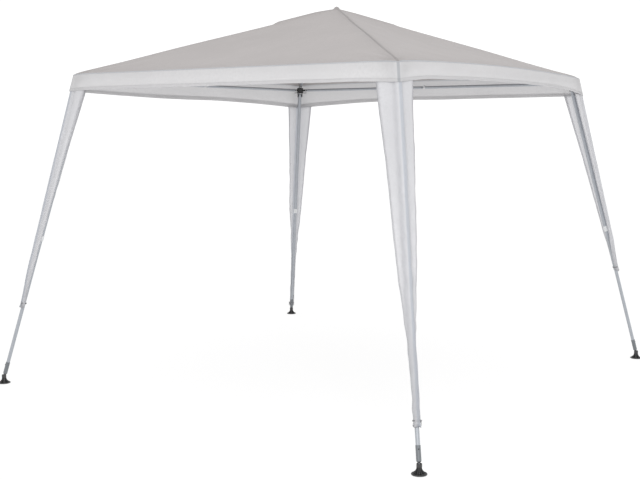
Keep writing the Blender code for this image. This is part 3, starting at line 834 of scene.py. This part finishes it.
def leg_cover(corner, materials):
    """Sleeve of cloth round the outside of a leg, hemmed on its edges and bottom."""
    bottom = COVER_BOTTOM[corner - 1]
    wing = np.linspace(0.30, 1, 13)[:-1]
    turned = np.array([1.0, 0.99, 0.93, 0.87])     # the edge, then its hem back underneath
    runs = np.concatenate([-turned[::-1], -wing[::-1], np.linspace(-0.26, 0.26, 15), wing, turned])
    column_in = np.array([1, 1, 1, 0.4] + [0] * (len(runs) - 8) + [0.4, 1, 1, 1]) * COVER_HEM
    top = cover_top(corner)
    span = top - bottom
    heights = top - span * np.linspace(0, 1, int(span / 0.0125) + 1)
    frill = 0.0035 * np.sin(runs * 7.0 + corner * 2.0)
    heights = np.concatenate([heights, [bottom + 0.001, bottom + 0.006, bottom + 0.012]])
    row_in = np.array([0.0] * (len(heights) - 3) + [1, 1, 1]) * COVER_HEM
    run, z = np.meshgrid(runs, heights)
    lower = smooth((bottom + 0.10 - z) / 0.10)
    z = z + frill[None, :] * lower
    inner = np.maximum(column_in[None, :], row_in[:, None])
    out, tangent, arc = cover_section(corner, run, z, inner)
    # Below the tie the cloth flares out again in a small ruffle.
    ruffle = smooth((bottom + 0.020 - z) / 0.020) * (0.0020 + 0.0018 * np.sin(run * 11.0 + corner))
    centre = leg_out(z)
    away = np.hypot(out - centre, tangent) + 1e-6
    out = out + ruffle * (out - centre) / away
    tangent = tangent + ruffle * tangent / away
    points = corner_place(corner, out, tangent, z)
    wide = np.interp(z, [bottom, top], [0.045, 0.150])
    maps = np.stack([arc, top - z], -1)
    edge = np.stack([(1.0 - np.abs(run)) * wide, z - bottom], -1)
    mesh = grid_mesh("cover", points, {"UVMap": maps, "EdgeMap": edge})
    piece = mesh_object(f"leg_sleeve_cloth_{corner}", mesh, materials["cover_fabric"],
                        f"leg_upper_{corner}")
    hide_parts(f"leg_cover_{corner}")
    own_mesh(piece)
    tie = cover_tie(corner, bottom + 0.024, materials)


def strap(path, across, thick, normals):
    """Rings of a flat strap along a path; across is its (unit directions, width)."""
    path, across_dir, normal = (np.array(v, float) for v in (path, across[0], normals))
    half = across[1] / 2
    return np.stack([path + across_dir * half, path + across_dir * half + normal * thick,
                     path - across_dir * half + normal * thick, path - across_dir * half,
                     path + across_dir * half], axis=1)


def cover_tie(corner, height, materials):
    """Webbing round the foot of the cover, with a knot and two short tails."""
    centre = leg_out(height)
    lean = math.atan2(BALL[0] - LEG_PIVOT[0], LEG_PIVOT[1] - BALL[1])
    parts = []
    angles = np.linspace(0, 2 * math.pi, 41)
    # It hugs the bare tube on the side the cover leaves open.
    open_side = smooth((math.pi - np.abs(angles - math.pi) - 1.7) / 0.9)
    radius = 0.0190 + 0.0004 * np.sin(angles * 3.0 + corner) - 0.0040 * open_side
    out, tangent = radius * np.cos(angles), radius * np.sin(angles)
    path = np.stack([centre + out * math.cos(lean), tangent, height + out * math.sin(lean)], -1)
    up = np.array([-math.sin(lean), 0.0, math.cos(lean)])
    normal = np.stack([np.cos(angles), np.sin(angles), 0 * angles], -1)
    parts.append(strap(path, (np.broadcast_to(up, path.shape), 0.007), 0.0010, normal))
    spot = math.radians(62.0)
    at = np.array([centre + 0.0205 * math.cos(spot), 0.0205 * math.sin(spot), height])
    for way, reach in ((-1.0, 0.016), (1.0, 0.022)):
        t = np.linspace(0, 1, 12)[:, None]
        bow = at + np.array([[0.0, 0.004 * way, -reach]]) * t
        bow = bow + np.array([[0.0015, 0.001, 0.0]]) * np.sin(t * math.pi)
        face = np.array([[math.cos(spot), math.sin(spot), 0.15]])
        side = np.cross(face, [[0, 0, 1]])
        side = side / np.linalg.norm(side)
        parts.append(strap(bow, (np.broadcast_to(side, bow.shape), 0.005), 0.0009,
                           np.broadcast_to(face, bow.shape)))
    turn = np.linspace(0, 2 * math.pi, 13)
    loop = at + 0.0034 * np.stack([np.cos(turn), np.sin(turn) * 0.6, np.sin(turn)], -1)
    outwards = np.stack([np.cos(turn), 0 * turn, np.sin(turn)], -1)
    parts.append(strap(loop, (np.broadcast_to([[0.0, 1.0, 0.0]], loop.shape), 0.008), 0.0016,
                       outwards))
    bm = bmesh.new()
    for part in parts:
        rows = []
        for row in part:
            local = corner_place(corner, row[:, 0], row[:, 1], row[:, 2])
            rows.append([bm.verts.new(point) for point in local[:-1]])
        for first, second in zip(rows[:-1], rows[1:]):
            for one in range(4):
                other = (one + 1) % 4
                bm.faces.new((first[one], first[other], second[other], second[one]))
        bm.faces.new(rows[0][::-1])
        bm.faces.new(rows[-1])
    mesh = mesh_from("tie", bm)
    for layer in ("UVMap", "EdgeMap"):
        mesh.uv_layers.new(name=layer)
    mesh.shade_smooth()
    return mesh_object(f"cover_tie_{corner}", mesh, materials["tie"], f"leg_lower_{corner}")


# ---------------------------------------------------------------- legs and rivets
def lathe_mesh(name, profile, start, direction, sides=40, smooth_angle=35.0):
    """Closed turned solid: profile is (distance along direction, radius) from axis to axis."""
    axis = Vector(direction).normalized()
    frame_axes = axis.to_track_quat("Z", "Y").to_matrix()
    bm = bmesh.new()
    rings = []
    for distance, radius in profile:
        if radius < 1e-7:
            rings.append([bm.verts.new(Vector(start) + axis * distance)])
            continue
        ring = []
        for number in range(sides):
            angle = 2 * math.pi * number / sides
            local = Vector((radius * math.cos(angle), radius * math.sin(angle), distance))
            ring.append(bm.verts.new(Vector(start) + frame_axes @ local))
        rings.append(ring)
    for first, second in zip(rings[:-1], rings[1:]):
        for number in range(sides):
            other = (number + 1) % sides
            if len(first) == 1:
                bm.faces.new((first[0], second[number], second[other]))
            elif len(second) == 1:
                bm.faces.new((first[other], first[number], second[0]))
            else:
                bm.faces.new((first[other], first[number], second[number], second[other]))
    mesh = mesh_from(name, bm)
    mesh.shade_smooth()
    mesh.set_sharp_from_angle(angle=math.radians(smooth_angle))
    return mesh


def joined(name, meshes):
    """Several meshes in one."""
    bm = bmesh.new()
    for mesh in meshes:
        bm.from_mesh(mesh)
        bpy.data.meshes.remove(mesh)
    whole = bpy.data.meshes.new(name)
    bm.to_mesh(whole)
    bm.free()
    whole.set_sharp_from_angle(angle=math.radians(35.0))
    return whole


def rivet(place, axis, radius, height=0.0022):
    """Domed rivet head standing on a face at place."""
    steps = [(-0.0004, 0.0), (-0.0004, radius)]
    for number in range(6):
        angle = math.pi / 2 * number / 5
        steps.append((height * math.sin(angle), radius * math.cos(angle) if number < 5 else 0.0))
    return lathe_mesh("rivet", steps, place, axis, 20, 50.0)


def rivet_pair(name, centre, axis, half, body, materials, radius):
    """A head on each end of a pivot pin, half its length from the centre."""
    axis = Vector(axis).normalized()
    heads = [rivet(Vector(centre) + axis * half, axis, radius),
             rivet(Vector(centre) - axis * half, -axis, radius)]
    mesh_object(name, joined(name, heads), materials["rivet"], body)


def make_rivets(materials):
    """Heads on both ends of every pivot pin; the leg's pin is longer and thicker."""
    for corner in range(1, 5):
        bodies = {"rafter_fold": "crown", "rafter_knee": f"rafter_inner_{corner}"}
        for kind in ("rafter_fold", "rafter_knee", "corner_swing", "eave_fold_a",
                     "eave_fold_b", "leg_swing"):
            joint = f"{kind}_{corner}"
            half, radius = (0.0187, 0.0070) if kind == "leg_swing" else (0.0076, 0.0048)
            rivet_pair(f"rivets_{joint}", JOINTS[joint]["pos_m"], JOINTS[joint]["axis"], half,
                       bodies.get(kind, f"corner_{corner}"), materials, radius)


def foot_mesh(corner):
    """Moulded foot: flat disc, eight thin fins and the ball's collar."""
    x, y, _ = JOINTS[f"foot_tilt_{corner}"]["pos_m"]
    base = (x, y, 0.0)
    disc = [(0.0002, 0.0), (0.0002, 0.0370), (0.0012, 0.0380), (0.0038, 0.0380),
            (0.0054, 0.0371), (0.0061, 0.0352), (0.0052, 0.0334), (0.0052, 0.0)]
    core = [(0.0050, 0.0), (0.0050, 0.0125), (0.0120, 0.0102), (0.0300, 0.0098), (0.0345, 0.0112),
            (0.0358, 0.0135), (0.0500, 0.0135), (0.0522, 0.0128), (0.0526, 0.0112),
            (0.0480, 0.0106), (0.0480, 0.0)]
    parts = [lathe_mesh("disc", disc, base, (0, 0, 1), 56),
             lathe_mesh("core", core, base, (0, 0, 1))]
    # Each fin sweeps out in a curve from the collar down to the disc.
    low, high, thick = 0.0062, 0.0356, 0.0010
    heights = np.linspace(low, high, 11)
    outer = 0.0132 + 0.0205 * ((high - heights) / (high - low)) ** 2.4
    outline = [(0.008, heights[0])] + list(zip(outer, heights)) + [(0.008, heights[-1])]
    bm = bmesh.new()
    for number in range(8):
        turn = Matrix.Translation(base) @ Matrix.Rotation(math.pi / 4 * number + 0.2, 4, "Z")
        faces = []
        for side in (-thick, thick):
            ring = [bm.verts.new(turn @ Vector((out, side, up))) for out, up in outline]
            faces.append(ring)
        bm.faces.new(faces[0])
        bm.faces.new(faces[1][::-1])
        for one in range(len(outline)):
            other = (one + 1) % len(outline)
            bm.faces.new((faces[0][other], faces[0][one], faces[1][one], faces[1][other]))
    return joined("foot", parts + [mesh_from("fins", bm)])


def make_feet(materials):
    """The four feet, and a dark plug in the end of each leg's sleeve."""
    for corner in range(1, 5):
        foot = mesh_object(f"foot_moulding_{corner}", foot_mesh(corner), materials["dark_plastic"],
                           f"foot_{corner}")
        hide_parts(f"foot_{corner}")
        ball = Vector(JOINTS[f"foot_tilt_{corner}"]["pos_m"])
        up = Vector(JOINTS[f"leg_extend_{corner}"]["axis"])
        plug = [(0.0195, 0.0), (0.0195, 0.0065), (0.0222, 0.0095), (0.0237, 0.0100), (0.0237, 0.0)]
        mesh_object(f"sleeve_plug_{corner}", lathe_mesh("plug", plug, ball, up),
                    materials["dark_plastic"], f"leg_lower_{corner}")


# ------------------------------------------------------------------------- build
def make_floor():
    mesh = bpy.data.meshes.new("floor")
    reach, z = 40.0, -0.0006
    mesh.from_pydata([(-reach, -reach, z), (reach, -reach, z), (reach, reach, z),
                      (-reach, reach, z)], [], [(0, 1, 2, 3)])
    mesh.materials.append(floor_material())
    floor = bpy.data.objects.new("floor", mesh)
    bpy.context.scene.collection.objects.link(floor)


def node_slot(name):
    """The finish of a carried-over CAD node, by the first word that its name holds."""
    for word, slot in (("canopy", "roof_fabric"), ("leg_cover", "cover_fabric"),
                       ("sleeve", "sleeve_paint"), ("eave_knuckle", "light_plastic"),
                       ("knuckle", "dark_plastic"), ("bush", "light_plastic"),
                       ("rafter", "frame_tube"), ("rail", "frame_tube"),
                       ("leg_upper", "frame_tube"), ("leg_lower", "frame_tube")):
        if word in name:
            return slot
    return "dark_plastic"


def finish_nodes(materials):
    for name, node in frame["nodes"].items():
        if not node.material_slots:
            node.data.materials.append(None)
        for place in node.material_slots:
            place.material = materials[node_slot(name)]


def main():
    make_camera()
    make_world()
    make_lamp("key", (5.6, -6.8, 4.4), (0.3, -0.6, 1.2), 3.2, 250.0)
    materials = make_materials()
    make_floor()
    finish_nodes(materials)
    declare_canopy(canopy_pieces(materials))
    ridge_strips(materials)
    for corner in range(1, 5):
        leg_cover(corner, materials)
    make_rivets(materials)
    make_feet(materials)


main()
